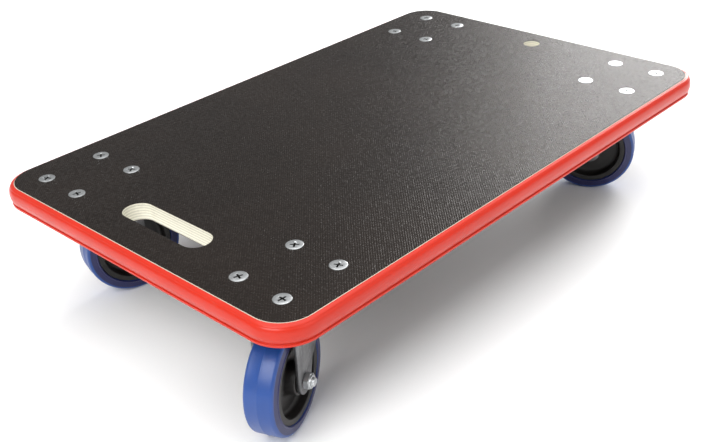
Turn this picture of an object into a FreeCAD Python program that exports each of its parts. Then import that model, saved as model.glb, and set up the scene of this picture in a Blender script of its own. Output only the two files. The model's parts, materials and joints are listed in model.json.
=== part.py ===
"""Flat transport dolly: a film-faced plywood deck with a rubber edge strip on four swivel castors.

Frame, in millimetres: +Z up, origin on the floor under the middle of the deck, +X along the deck
from the hand-hole end (front) to the end with the round hole (rear). Facing the front, left is -Y.
Every size that can be set by itself is a cell of the sheet "Sizes"; every feature is bound to it.
"""
import FreeCAD, Part
import math
import os

import Sketcher
from FreeCAD import Placement, Rotation, Vector

DOC = FreeCAD.newDocument("transport_dolly")
SHEET = DOC.addObject("Spreadsheet::Sheet", "Sizes")
OUT = "parts"
XY, XZ, YZ = "XY_Plane", "XZ_Plane", "YZ_Plane"


# ---------------------------------------------------------------- sizes bound to the sheet

class Size:
    """A length or angle that knows its value and the sheet expression that gives it."""

    def __init__(self, text, value):
        self.text = text
        self.value = value

    def join(self, other, sign, value, flip=False):
        right = as_size(other)
        first, second = (right, self) if flip else (self, right)
        return Size(f"({first.text} {sign} {second.text})", value(first.value, second.value))

    def __add__(self, other):
        return self.join(other, "+", lambda a, b: a + b)

    def __radd__(self, other):
        return self.join(other, "+", lambda a, b: a + b, flip=True)

    def __sub__(self, other):
        return self.join(other, "-", lambda a, b: a - b)

    def __rsub__(self, other):
        return self.join(other, "-", lambda a, b: a - b, flip=True)

    def __mul__(self, other):
        return self.join(other, "*", lambda a, b: a * b)

    def __rmul__(self, other):
        return self.join(other, "*", lambda a, b: a * b, flip=True)

    def __truediv__(self, other):
        return self.join(other, "/", lambda a, b: a / b)

    def __neg__(self):
        return 0 - self


def as_size(number):
    return number if isinstance(number, Size) else Size(repr(float(number)), float(number))


def cosine(angle):
    return Size(f"cos({angle.text})", math.cos(math.radians(angle.value)))


def sine(angle):
    return Size(f"sin({angle.text})", math.sin(math.radians(angle.value)))


def root(size):
    return Size(f"sqrt({size.text})", math.sqrt(size.value))


def cell(alias, value):
    """Adds one driving dimension to the sheet and returns it as a Size."""
    cell.row += 1
    SHEET.set(f"A{cell.row}", alias)
    SHEET.set(f"B{cell.row}", str(value))
    SHEET.setAlias(f"B{cell.row}", alias)
    return Size(f"Sizes.{alias}", float(value))


cell.row = 0

# deck
deck_length = cell("deck_length", 640)
deck_width = cell("deck_width", 400)
deck_thickness = cell("deck_thickness", 18)
deck_corner = cell("deck_corner", 32)
deck_edge_chamfer = cell("deck_edge_chamfer", 1.4)
film_thickness = cell("film_thickness", 0.6)
hand_hole_length = cell("hand_hole_length", 112)
hand_hole_width = cell("hand_hole_width", 29)
hand_hole_inset = cell("hand_hole_inset", 48)
rope_hole_radius = cell("rope_hole_radius", 10)
rope_hole_inset = cell("rope_hole_inset", 32)

# edge strip, pressed into a groove of the deck's edge
strip_drop = cell("strip_drop", 2.4)
strip_bulge = cell("strip_bulge", 5.4)
strip_root = cell("strip_root", 3.2)
strip_lip = cell("strip_lip", 2.2)
strip_notch = cell("strip_notch", 0.9)
strip_overhang = cell("strip_overhang", 2)
strip_seam = cell("strip_seam", 0.6)
barb_depth = cell("barb_depth", 9)
barb_height = cell("barb_height", 3)
strip_clearance = cell("strip_clearance", 0.1)

# castor places and how each castor stands at rest (degrees, direction of the trail)
castor_inset_along = cell("castor_inset_along", 63)
castor_inset_across = cell("castor_inset_across", 59)
trail = cell("trail", 28)
turn_front_left = cell("turn_front_left", 202)
turn_front_right = cell("turn_front_right", -14)
turn_rear_left = cell("turn_rear_left", 117)
turn_rear_right = cell("turn_rear_right", -22)

# castor head
plate_length = cell("plate_length", 80)
plate_width = cell("plate_width", 68)
plate_thickness = cell("plate_thickness", 2.5)
plate_corner = cell("plate_corner", 6)
bolts_along = cell("bolts_along", 63)
bolts_across = cell("bolts_across", 51.5)
slot_stretch = cell("slot_stretch", 3)
upper_ball_radius = cell("upper_ball_radius", 2.5)
upper_ball_ring = cell("upper_ball_ring", 21.5)
upper_ball_count = 16
lower_ball_radius = cell("lower_ball_radius", 2)
lower_ball_ring = cell("lower_ball_ring", 12.5)
lower_ball_count = 12
race_wall = cell("race_wall", 3)
race_gap = cell("race_gap", 2.2)
race_clearance = cell("race_clearance", 0.12)
kingpin_radius = cell("kingpin_radius", 6)
kingpin_head = cell("kingpin_head", 9)
kingpin_tail = cell("kingpin_tail", 2.4)
pin_clearance = cell("pin_clearance", 0.1)
cup_thickness = cell("cup_thickness", 2.2)

# fork
fork_thickness = cell("fork_thickness", 2.6)
fork_crown = cell("fork_crown", 27)
fork_bend = cell("fork_bend", 4)
fork_end = cell("fork_end", 12)
fork_heel = cell("fork_heel", 19)

# wheel
wheel_radius = cell("wheel_radius", 50)
wheel_headroom = cell("wheel_headroom", 0.5)
tyre_width = cell("tyre_width", 30)
tread_width = cell("tread_width", 20.5)
shoulder_radius = cell("shoulder_radius", 3.2)
tyre_thickness = cell("tyre_thickness", 10.5)
rim_thickness = cell("rim_thickness", 6)
bead_height = cell("bead_height", 2)
bead_width = cell("bead_width", 12)
web_thickness = cell("web_thickness", 8)
web_fillet = cell("web_fillet", 4)
side_bead = cell("side_bead", 0.9)
hub_radius = cell("hub_radius", 13.5)
hub_width = cell("hub_width", 33)
hub_play = cell("hub_play", 1.3)
tyre_clearance = cell("tyre_clearance", 0.05)
roller_radius = cell("roller_radius", 1.5)
roller_length = cell("roller_length", 25)
roller_count = 10
roller_play = cell("roller_play", 0.1)
cage_wall = cell("cage_wall", 1.9)
cage_play = cell("cage_play", 0.4)
sleeve_wall = cell("sleeve_wall", 1.8)

# fasteners
bolt_radius = cell("bolt_radius", 4)
bolt_head_radius = cell("bolt_head_radius", 8)
bolt_head_rim = cell("bolt_head_rim", 0.7)
bolt_head_proud = cell("bolt_head_proud", 0.3)
bolt_end = cell("bolt_end", 1)
hole_play = cell("hole_play", 0.3)
head_play = cell("head_play", 0.2)
recess_span = cell("recess_span", 8.4)
recess_wing = cell("recess_wing", 1.9)
recess_depth = cell("recess_depth", 2.6)
nut_flats = cell("nut_flats", 13)
nut_height = cell("nut_height", 6.4)
nut_flange_radius = cell("nut_flange_radius", 8.5)
nut_flange_height = cell("nut_flange_height", 1.4)
thread_play = cell("thread_play", 0.05)
axle_radius = cell("axle_radius", 4)
axle_head_height = cell("axle_head_height", 5.3)
axle_end = cell("axle_end", 2.2)
axle_play = cell("axle_play", 0.15)

# derived sizes
board_thickness = deck_thickness - 2 * film_thickness
castor_x = deck_length / 2 - castor_inset_along
castor_y = deck_width / 2 - castor_inset_across
bolt_hole_radius = bolt_radius + hole_play
crown_top = -(plate_thickness + race_wall + race_gap)
crown_bottom = crown_top - fork_thickness
upper_ball_level = -(plate_thickness + race_wall + race_gap / 2)
lower_ball_level = crown_bottom - 0.9 * lower_ball_radius
cup_top = lower_ball_level - 0.4 * lower_ball_radius
cup_bottom = cup_top - cup_thickness
pin_end = cup_bottom - kingpin_tail
axle_drop = wheel_radius + wheel_headroom - pin_end
deck_bottom = wheel_radius + axle_drop
rim_radius = wheel_radius - tyre_thickness
fork_gap = hub_width + 2 * hub_play
fork_face = fork_gap / 2 + fork_thickness
sleeve_radius = axle_radius + axle_play + sleeve_wall
roller_ring = sleeve_radius + roller_play + roller_radius
hub_bore = roller_ring + roller_radius + roller_play


# ---------------------------------------------------------------- FreeCAD helpers

def bind(obj, prop, size):
    """Binds a property to the sheet expression of a Size."""
    obj.setExpression(prop, as_size(size).text)


def new_body(label):
    body = DOC.addObject("PartDesign::Body", label)
    body.Label = label
    return body


def place(body, x, y, z, turn=0):
    """Binds where a body stands: its origin, and its turn about +Z in degrees."""
    angle = as_size(turn)
    body.Placement = Placement(Vector(0, 0, 0), Rotation(Vector(0, 0, 1), angle.value))
    bind(body, "Placement.Base.x", x)
    bind(body, "Placement.Base.y", y)
    bind(body, "Placement.Base.z", z)
    if isinstance(turn, Size):
        bind(body, "Placement.Rotation.Angle", turn)


def new_sketch(body, name, plane, lift=0, aside=(0, 0)):
    """A sketch on one of the body's origin planes, lifted along the plane's normal."""
    sketch = body.newObject("Sketcher::SketchObject", f"{body.Label}_{name}")
    origin_plane = next(f for f in body.Origin.OriginFeatures if f.Role == plane)
    sketch.AttachmentSupport = [(origin_plane, "")]
    sketch.MapMode = "FlatFace"
    for axis, offset in zip("xyz", (*aside, lift)):
        if isinstance(offset, Size):
            bind(sketch, f"AttachmentOffset.Base.{axis}", offset)
    return sketch


def hold(sketch, geometry, point, x, y):
    """Fixes a sketch point at (x, y) with constraints bound to the sheet."""
    for size, kind, axis in ((as_size(x), "DistanceX", -2), (as_size(y), "DistanceY", -1)):
        if abs(size.value) < 1e-9:
            sketch.addConstraint(Sketcher.Constraint("PointOnObject", geometry, point, axis))
            continue
        sketch.addConstraint(Sketcher.Constraint(kind, -1, 1, geometry, point, size.value))
        number = sketch.ConstraintCount - 1
        sketch.setExpression(f"Constraints[{number}]", size.text)


def arc_between(start, end, radius, turn):
    """The arc of a radius from start to end that turns left (+1) or right (-1), under half a turn."""
    middle = (start + end) * 0.5
    chord = end - start
    rise = math.sqrt(max(radius ** 2 - chord.Length ** 2 / 4, 0))
    left = Vector(-chord.y, chord.x, 0).normalize()
    centre = middle + left * rise * turn
    first, last = (start, end) if turn > 0 else (end, start)
    angles = [math.atan2(p.y - centre.y, p.x - centre.x) for p in (first, last)]
    if angles[1] < angles[0]:
        angles[1] += 2 * math.pi
    return Part.ArcOfCircle(Part.Circle(centre, Vector(0, 0, 1), radius), *angles)


def outline(sketch, corners, closed=True):
    """Draws an outline through corners (x, y) or (x, y, radius, turn), where the last two make the
    stretch that arrives at that corner an arc."""
    spots = [Vector(as_size(c[0]).value, as_size(c[1]).value, 0) for c in corners]
    count = len(corners)
    pieces = []
    for i in range(0 if closed else 1, count):
        start, end, corner = spots[i - 1], spots[i], corners[i]
        if len(corner) == 2:
            geometry = sketch.addGeometry(Part.LineSegment(start, end), False)
            pieces.append((geometry, 1, 2))
            continue
        radius, turn = as_size(corner[2]), corner[3]
        arc = arc_between(start, end, radius.value, turn)
        geometry = sketch.addGeometry(arc, False)
        pieces.append((geometry, 1, 2) if turn > 0 else (geometry, 2, 1))
        sketch.addConstraint(Sketcher.Constraint("Radius", geometry, radius.value))
        sketch.setExpression(f"Constraints[{sketch.ConstraintCount - 1}]", radius.text)
    for i, (geometry, _, far) in enumerate(pieces):
        if i + 1 < len(pieces) or closed:
            after, near, _ = pieces[(i + 1) % len(pieces)]
            sketch.addConstraint(Sketcher.Constraint("Coincident", geometry, far, after, near))
    if not closed:
        hold(sketch, pieces[0][0], pieces[0][1], *corners[0][:2])
    for (geometry, _, far), corner in zip(pieces, corners if closed else corners[1:]):
        hold(sketch, geometry, far, *corner[:2])
    return sketch


def circle(sketch, x, y, radius):
    size = as_size(radius)
    spot = Vector(as_size(x).value, as_size(y).value, 0)
    geometry = sketch.addGeometry(Part.Circle(spot, Vector(0, 0, 1), size.value), False)
    hold(sketch, geometry, 3, x, y)
    sketch.addConstraint(Sketcher.Constraint("Radius", geometry, size.value))
    sketch.setExpression(f"Constraints[{sketch.ConstraintCount - 1}]", size.text)
    return sketch


def rounded_rectangle(half_x, half_y, radius):
    """Corners of a rectangle about the origin with rounded corners, anticlockwise."""
    return [
        (half_x, radius - half_y), (half_x, half_y - radius),
        (half_x - radius, half_y, radius, 1), (radius - half_x, half_y),
        (-half_x, half_y - radius, radius, 1), (-half_x, radius - half_y),
        (radius - half_x, -half_y, radius, 1), (half_x - radius, -half_y),
        (half_x, radius - half_y, radius, 1),
    ][1:]


def mirrored(corners):
    """The same corners on the other side of the sketch's Y axis, in reverse order."""
    back = []
    for i in reversed(range(len(corners))):
        arc = corners[i + 1][2:] if i + 1 < len(corners) else ()
        back.append((-corners[i][0], corners[i][1], *arc))
    return back


def round_slot(sketch, x, y, length, width, along_x=True):
    """A slot with round ends, centred on (x, y), each end made of two quarter arcs."""
    reach, half = length / 2 - width / 2, width / 2
    if along_x:
        ring = [(reach, -half), (reach + half, 0, half, 1), (reach, half, half, 1), (-reach, half),
                (-reach - half, 0, half, 1), (-reach, -half, half, 1)]
    else:
        ring = [(half, -reach), (half, reach), (0, reach + half, half, 1), (-half, reach, half, 1),
                (-half, -reach), (0, -reach - half, half, 1), (half, -reach, half, 1)][1:]
    outline(sketch, [(x + px, y + py, *rest) for px, py, *rest in ring])


def pad(body, sketch, length, down=False, both=False):
    feature = body.newObject("PartDesign::Pad", f"{sketch.Name}_pad")
    feature.Profile = sketch
    bind(feature, "Length", length)
    feature.Reversed = down
    feature.Midplane = both
    return feature


def pocket(body, sketch, length=None, up=False, both=False):
    """Cuts a sketch's area: to a depth against the sketch's normal, along it (up), or right through."""
    feature = body.newObject("PartDesign::Pocket", f"{sketch.Name}_pocket")
    feature.Profile = sketch
    if length is None:
        feature.Type = "ThroughAll"
    else:
        bind(feature, "Length", length)
    feature.Reversed = up
    feature.Midplane = both
    return feature


def spin(body, sketch, axis="V_Axis", cut=False):
    """A full turn of a sketch's area about one of the sketch's own axes."""
    kind = "Groove" if cut else "Revolution"
    feature = body.newObject(f"PartDesign::{kind}", f"{sketch.Name}_turned")
    feature.Profile = sketch
    feature.ReferenceAxis = (sketch, [axis])
    feature.Angle = 360
    return feature


def dress(body, kind, feature, size, wanted):
    """A fillet or chamfer on the edges of a feature that the test wanted(edge) picks."""
    DOC.recompute()
    names = [f"Edge{i + 1}" for i, edge in enumerate(feature.Shape.Edges) if wanted(edge)]
    if not names:
        raise RuntimeError(f"{body.Label}: no edge to {kind.lower()}")
    dressed = body.newObject(f"PartDesign::{kind}", f"{feature.Name}_{kind.lower()}")
    dressed.Base = (feature, names)
    bind(dressed, "Radius" if kind == "Fillet" else "Size", size)
    return dressed


def pattern(body, originals, axis_role, count):
    """Repeats features round one of the body's origin axes."""
    feature = body.newObject("PartDesign::PolarPattern", f"{originals[0].Name}_pattern")
    feature.Originals = originals
    axis = next(f for f in body.Origin.OriginFeatures if f.Role == axis_role)
    feature.Axis = (axis, [""])
    feature.Angle = 360
    feature.Occurrences = count
    body.Tip = feature
    return feature


def is_level(edge, z):
    """True for an edge that lies in the horizontal plane at height z."""
    box = edge.BoundBox
    return abs(box.ZMin - z) < 1e-4 and abs(box.ZMax - z) < 1e-4


def is_circle(edge, radius):
    return isinstance(edge.Curve, Part.Circle) and abs(edge.Curve.Radius - radius) < 1e-4


def hexagon(flats):
    """Corners of a hexagon about the origin, flats at the given distance apart."""
    reach = flats / 2 / cosine(as_size(30))
    return [(reach * cosine(as_size(60 * i)), reach * sine(as_size(60 * i))) for i in range(6)]


# ---------------------------------------------------------------- deck

def corner_signs():
    return [(sx, sy) for sx in (-1, 1) for sy in (-1, 1)]


def bolt_places():
    """The sixteen bolt axes, in the deck's plane."""
    return [
        (sx * castor_x + bx * bolts_along / 2, sy * castor_y + by * bolts_across / 2)
        for sx, sy in corner_signs() for bx, by in corner_signs()
    ]


def cut_deck_openings(body, bolt_radius_here):
    """The hand hole, the round rope hole and the sixteen bolt holes, right through a deck layer."""
    holes = new_sketch(body, "holes", XY)
    round_slot(holes, hand_hole_inset - deck_length / 2, 0, hand_hole_length, hand_hole_width,
               along_x=False)
    circle(holes, deck_length / 2 - rope_hole_inset, 0, rope_hole_radius)
    for x, y in bolt_places():
        circle(holes, x, y, bolt_radius_here)
    return pocket(body, holes, up=True)


def make_deck_board():
    body = new_body("deck_board")
    place(body, 0, 0, deck_bottom + film_thickness)
    shape = outline(new_sketch(body, "shape", XY),
                    rounded_rectangle(deck_length / 2, deck_width / 2, deck_corner))
    pad(body, shape, board_thickness)
    cut = cut_deck_openings(body, bolt_hole_radius)
    top = board_thickness.value
    sink = bolt_head_radius + head_play - bolt_hole_radius
    cut = dress(body, "Chamfer", cut, sink,
                lambda e: is_level(e, top) and is_circle(e, bolt_hole_radius.value))
    cut = dress(body, "Chamfer", cut, deck_edge_chamfer - film_thickness,
                lambda e: is_level(e, top) and on_deck_edge(e))
    groove = new_sketch(body, "groove", XY, (board_thickness - groove_height()) / 2)
    outline(groove, rounded_rectangle(deck_length / 2 + 1, deck_width / 2 + 1, deck_corner + 1))
    depth = barb_depth + 2 * strip_clearance
    outline(groove, rounded_rectangle(deck_length / 2 - depth, deck_width / 2 - depth,
                                      deck_corner - depth))
    pocket(body, groove, groove_height(), up=True)
    return body


def groove_height():
    return barb_height + 2 * strip_clearance


def on_deck_edge(edge):
    """True for an edge that lies on the deck's outer outline."""
    box = edge.BoundBox
    far_x = max(abs(box.XMin), abs(box.XMax)) > deck_length.value / 2 - deck_corner.value - 0.01
    far_y = max(abs(box.YMin), abs(box.YMax)) > deck_width.value / 2 - deck_corner.value - 0.01
    holes = is_circle(edge, bolt_hole_radius.value) or is_circle(edge, rope_hole_radius.value)
    sunk = is_circle(edge, bolt_head_radius.value + head_play.value)
    along = max(box.XLength, box.YLength) > deck_corner.value - 0.01
    return (far_x or far_y) and along and not holes and not sunk


def make_film(label, z, inset, hole_radius):
    """One resin film on the deck: the anti-slip top or the smooth underside."""
    body = new_body(label)
    place(body, 0, 0, z)
    shape = outline(new_sketch(body, "shape", XY),
                    rounded_rectangle(deck_length / 2 - inset, deck_width / 2 - inset,
                                      deck_corner - inset))
    pad(body, shape, film_thickness)
    cut_deck_openings(body, hole_radius)
    return body


def make_edge_strip():
    """The red rubber strip: a bulged face with a lip below, and a barb in the deck's groove."""
    body = new_body("edge_strip")
    place(body, 0, 0, deck_bottom)
    level = deck_thickness / 2
    half_x, half_y, r = deck_length / 2, deck_width / 2, deck_corner
    start = strip_seam / 2
    path = new_sketch(body, "path", XY, level)
    outline(path, [
        (half_x, start), (half_x, half_y - r), (half_x - r, half_y, r, 1), (r - half_x, half_y),
        (-half_x, half_y - r, r, 1), (-half_x, r - half_y), (r - half_x, -half_y, r, 1),
        (half_x - r, -half_y), (half_x, r - half_y, r, 1), (half_x, -start),
    ], closed=False)
    top = deck_thickness - deck_edge_chamfer
    bottom = -strip_drop
    back = half_x + strip_clearance
    crest = half_x + strip_bulge
    face_top, face_bottom = top - strip_overhang, bottom + strip_lip + strip_notch
    barb_top, barb_bottom = level + barb_height / 2, level - barb_height / 2
    bulge_radius = ((face_top - face_bottom) * (face_top - face_bottom) / 4
                    + (strip_bulge - strip_root) * (strip_bulge - strip_root)) \
        / (2 * (strip_bulge - strip_root))
    section = new_sketch(body, "section", XZ, -start)
    outline(section, [
        (back, top), (back, barb_top), (half_x - barb_depth, barb_top),
        (half_x - barb_depth, barb_bottom), (back, barb_bottom), (back, bottom),
        (half_x + strip_root, bottom),
        (half_x + strip_root + strip_lip / 2, bottom + strip_lip / 2, strip_lip / 2, 1),
        (half_x + strip_root, bottom + strip_lip, strip_lip / 2, 1),
        (half_x + strip_root, face_bottom),
        (crest, (face_top + face_bottom) / 2, bulge_radius, 1),
        (half_x + strip_root, face_top, bulge_radius, 1),
        (half_x + strip_root - strip_overhang, top, strip_overhang, 1),
    ])
    pipe = body.newObject("PartDesign::AdditivePipe", "edge_strip_pipe")
    pipe.Profile = section
    pipe.Spine = path
    pipe.Mode = "Frenet"
    return body


# ---------------------------------------------------------------- castor head

def ball_groove(body, name, ring, level, radius):
    """Cuts the round track that a row of balls runs in."""
    track = new_sketch(body, name, XZ)
    circle(track, ring, level, radius + race_clearance)
    return spin(body, track, cut=True)


def make_mounting_plate(corner):
    body = new_body(f"{corner.name}_mounting_plate")
    place(body, corner.x, corner.y, deck_bottom)
    shape = outline(new_sketch(body, "shape", XY),
                    rounded_rectangle(plate_length / 2, plate_width / 2, plate_corner))
    pad(body, shape, plate_thickness, down=True)
    race = new_sketch(body, "race", XZ)
    inner, outer = upper_ball_ring - upper_ball_radius * 2, fork_crown - 0.5
    outline(race, [(inner, -plate_thickness), (inner, -plate_thickness - race_wall),
                   (outer - 1, -plate_thickness - race_wall),
                   (outer, 1 - plate_thickness - race_wall), (outer + 1.5, -plate_thickness)])
    spin(body, race)
    ball_groove(body, "track", upper_ball_ring, upper_ball_level, upper_ball_radius)
    sink = new_sketch(body, "pin_hole", XZ)
    play = pin_clearance
    outline(sink, [(0, 0), (kingpin_head + play, 0), (kingpin_radius + play, -plate_thickness),
                   (kingpin_radius + play, -plate_thickness - 1), (0, -plate_thickness - 1)])
    spin(body, sink, cut=True)
    slots = new_sketch(body, "slots", XY)
    for sx, sy in corner_signs():
        round_slot(slots, sx * bolts_along / 2, sy * bolts_across / 2,
                   2 * bolt_hole_radius + slot_stretch, 2 * bolt_hole_radius)
    cut = pocket(body, slots)
    low = -plate_thickness.value
    dress(body, "Chamfer", cut, 0.4,
          lambda e: is_level(e, low) and max(e.BoundBox.XLength, e.BoundBox.YLength) > 40)
    return body


def make_kingpin(corner):
    """The pin that the fork swivels on: sunk head in the plate, riveted tail under the race cup."""
    body = new_body(f"{corner.name}_kingpin")
    place(body, corner.x, corner.y, deck_bottom)
    shape = new_sketch(body, "shape", XZ)
    outline(shape, [
        (0, -pin_clearance), (kingpin_head - pin_clearance, -pin_clearance),
        (kingpin_radius, -plate_thickness), (kingpin_radius, cup_bottom - pin_clearance),
        (kingpin_head - 0.5, cup_bottom - pin_clearance),
        (kingpin_head - 0.5, cup_bottom - 0.9), (kingpin_head - 2.5, pin_end), (0, pin_end),
    ])
    spin(body, shape)
    return body


def make_race_cup(corner):
    """The pressed cup that carries the lower balls, held up by the kingpin's tail."""
    body = new_body(f"{corner.name}_race_cup")
    place(body, corner.x, corner.y, deck_bottom)
    shape = new_sketch(body, "shape", XZ)
    inner, outer = kingpin_radius + pin_clearance, lower_ball_ring + 2 * lower_ball_radius
    outline(shape, [(inner, cup_top), (inner, cup_bottom), (outer - 1.2, cup_bottom),
                    (outer, cup_bottom + 1.2), (outer, cup_top + 0.5), (outer - 1.1, cup_top + 0.5),
                    (outer - 1.1, cup_top)])
    spin(body, shape)
    ball_groove(body, "track", lower_ball_ring, lower_ball_level, lower_ball_radius)
    return body


def make_swivel_balls(corner):
    """Both rows of balls, which carry the fork on the plate and on the cup."""
    body = new_body(f"{corner.name}_swivel_balls")
    place(body, corner.x, corner.y, deck_bottom, corner.turn)
    rows = (("upper", upper_ball_ring, upper_ball_level, upper_ball_radius, upper_ball_count),
            ("lower", lower_ball_ring, lower_ball_level, lower_ball_radius, lower_ball_count))
    for name, ring, level, radius, count in rows:
        half = new_sketch(body, name, XZ, aside=(ring, level))
        outline(half, [(0, radius), (-radius, 0, radius, 1), (0, -radius, radius, 1)])
        pattern(body, [spin(body, half)], "Z_Axis", count)
    return body


def make_deck_bolts(corner):
    """Four sunk-head bolts with cross recesses, from the deck's top through the plate."""
    body = new_body(f"{corner.name}_deck_bolts")
    place(body, corner.x, corner.y, deck_bottom + deck_thickness)
    top, rim = bolt_head_proud, -bolt_head_rim
    tip = -(deck_thickness + plate_thickness + nut_height + bolt_end)
    for i, (sx, sy) in enumerate(corner_signs()):
        x, y = sx * bolts_along / 2, sy * bolts_across / 2
        shape = new_sketch(body, f"shape_{i}", XZ, -y, aside=(x, as_size(0)))
        outline(shape, [
            (0, top), (bolt_head_radius - 0.4, top), (bolt_head_radius, top - 0.4),
            (bolt_head_radius, rim), (bolt_radius, rim - (bolt_head_radius - bolt_radius)),
            (bolt_radius, tip + 0.8), (bolt_radius - 0.8, tip), (0, tip),
        ])
        spin(body, shape)
        cross = new_sketch(body, f"recess_{i}", XY, top)
        wide, half = recess_span / 2, recess_wing / 2
        ring = [(wide, -half), (wide, half), (half, half), (half, wide), (-half, wide),
                (-half, half), (-wide, half), (-wide, -half), (-half, -half), (-half, -wide),
                (half, -wide), (half, -half)]
        outline(cross, [(x + px, y + py) for px, py in ring])
        pocket(body, cross, recess_depth)
    return body


def make_deck_nuts(corner):
    """Four flanged nuts under the plate."""
    body = new_body(f"{corner.name}_deck_nuts")
    place(body, corner.x, corner.y, deck_bottom - plate_thickness)
    for i, (sx, sy) in enumerate(corner_signs()):
        x, y = sx * bolts_along / 2, sy * bolts_across / 2
        flange = new_sketch(body, f"flange_{i}", XY)
        circle(flange, x, y, nut_flange_radius)
        pad(body, flange, nut_flange_height, down=True)
        hexes = outline(new_sketch(body, f"hexagon_{i}", XY),
                        [(x + px, y + py) for px, py in hexagon(nut_flats)])
        pad(body, hexes, nut_height, down=True)
        bore = new_sketch(body, f"bore_{i}", XY)
        circle(bore, x, y, bolt_radius + thread_play)
        pocket(body, bore)
    return body


# ---------------------------------------------------------------- fork and axle

def make_fork(corner):
    """The pressed fork: a round crown, and two legs that trail back to the axle."""
    body = new_body(f"{corner.name}_fork")
    place(body, corner.x, corner.y, deck_bottom, corner.turn)
    inner, outer = fork_gap / 2, fork_face
    bend, thick = fork_bend, fork_thickness
    low = -axle_drop - fork_end - 2
    channel = new_sketch(body, "channel", YZ, -fork_heel)
    outline(channel, [
        (outer, low), (outer, crown_top - bend), (outer - bend, crown_top, bend, 1),
        (bend - outer, crown_top), (-outer, crown_top - bend, bend, 1), (-outer, low),
        (-inner, low), (-inner, crown_top - bend), (thick - outer + bend - thick, crown_bottom,
                                                    bend - thick, -1),
        (outer - bend, crown_bottom), (inner, crown_top - bend, bend - thick, -1), (inner, low),
    ])
    pad(body, channel, fork_heel + trail + fork_end)
    cut_leg_profile(body)
    crown = circle(new_sketch(body, "crown", XY, crown_top), 0, 0, fork_crown)
    pad(body, crown, fork_thickness, down=True)
    ball_groove(body, "upper_track", upper_ball_ring, upper_ball_level, upper_ball_radius)
    ball_groove(body, "lower_track", lower_ball_ring, lower_ball_level, lower_ball_radius)
    hole = circle(new_sketch(body, "pin_hole", XY, crown_top + 1), 0, 0, kingpin_radius + 1.5)
    pocket(body, hole, fork_thickness + 2)
    axle = circle(new_sketch(body, "axle_hole", XZ), trail, -axle_drop, axle_radius + axle_play)
    pocket(body, axle, 4 * fork_face, both=True)
    return body


def cut_leg_profile(body):
    """Trims the channel to the side view of the legs."""
    side = new_sketch(body, "side", XZ)
    far = 2 * (axle_drop + fork_end)
    outline(side, [(far, 1), (-far, 1), (-far, -far), (far, -far)])
    bottom = -axle_drop
    throat = crown_bottom - 10
    outline(side, [
        (fork_crown - 3, crown_top), (trail + fork_end - 1, throat),
        (trail + fork_end, bottom), (trail, bottom - fork_end, fork_end, -1),
        (trail - fork_end, bottom, fork_end, -1), (trail - fork_end - 4, bottom + 12),
        (-fork_heel, throat - 2), (-fork_heel, crown_top),
    ])
    return pocket(body, side, 4 * fork_face, both=True)


def place_on_axle(body, corner):
    """Stands a body at the wheel's centre, its Y axis along the axle."""
    place(body, corner.x + trail * cosine(corner.turn), corner.y + trail * sine(corner.turn),
          wheel_radius, corner.turn)


def make_axle_bolt(corner):
    """The hexagon-head bolt through the fork, head on the -Y side."""
    body = new_body(f"{corner.name}_axle_bolt")
    place_on_axle(body, corner)
    head = outline(new_sketch(body, "head", XZ, fork_face), hexagon(nut_flats))
    pad(body, head, axle_head_height)
    shank = circle(new_sketch(body, "shank", XZ, fork_face), 0, 0, axle_radius)
    shaft = pad(body, shank, 2 * fork_face + nut_height + axle_end, down=True)
    far = fork_face.value + nut_height.value + axle_end.value
    dress(body, "Chamfer", shaft, 0.8, lambda e: abs(e.BoundBox.YMin - far) < 1e-3)
    return body


def make_axle_nut(corner):
    """The lock nut on the +Y side, with its nylon collar."""
    body = new_body(f"{corner.name}_axle_nut")
    place_on_axle(body, corner)
    collar = 1.4
    flats = outline(new_sketch(body, "hexagon", XZ, -fork_face), hexagon(nut_flats))
    pad(body, flats, nut_height - collar, down=True)
    ring = circle(new_sketch(body, "collar", XZ, -fork_face), 0, 0, nut_flats / 2 - 0.4)
    pad(body, ring, nut_height, down=True)
    bore = circle(new_sketch(body, "bore", XZ, -fork_face), 0, 0, axle_radius + thread_play)
    pocket(body, bore, 2 * nut_height, both=True)
    return body


def make_axle_sleeve(corner):
    """The steel tube that the fork is clamped on and the rollers run on."""
    body = new_body(f"{corner.name}_axle_sleeve")
    place_on_axle(body, corner)
    ring = new_sketch(body, "ring", XZ)
    circle(ring, 0, 0, sleeve_radius)
    circle(ring, 0, 0, axle_radius + axle_play)
    pad(body, ring, fork_gap, both=True)
    return body


# ---------------------------------------------------------------- wheel

def make_tyre(corner):
    """The blue elastic tyre: flat tread, round shoulders, sloped sides and a bead seat."""
    body = new_body(f"{corner.name}_tyre")
    place_on_axle(body, corner)
    seat = rim_radius + tyre_clearance
    half, tread = tyre_width / 2, tread_width / 2
    shoulder = wheel_radius - shoulder_radius
    bead, neck = bead_width / 2, bead_width / 2 - bead_height / 2
    section = new_sketch(body, "section", YZ)
    right = [
        (neck, seat + bead_height), (bead + tyre_clearance, seat), (half - 0.6, seat),
        (half, seat + 0.6), (half, seat + 1.6), (half - side_bead, seat + 1.6 + side_bead),
        (tread + shoulder_radius, shoulder), (tread, wheel_radius, shoulder_radius, 1),
    ]
    outline(section, right + mirrored(right))
    spin(body, section, "H_Axis")
    return body


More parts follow.
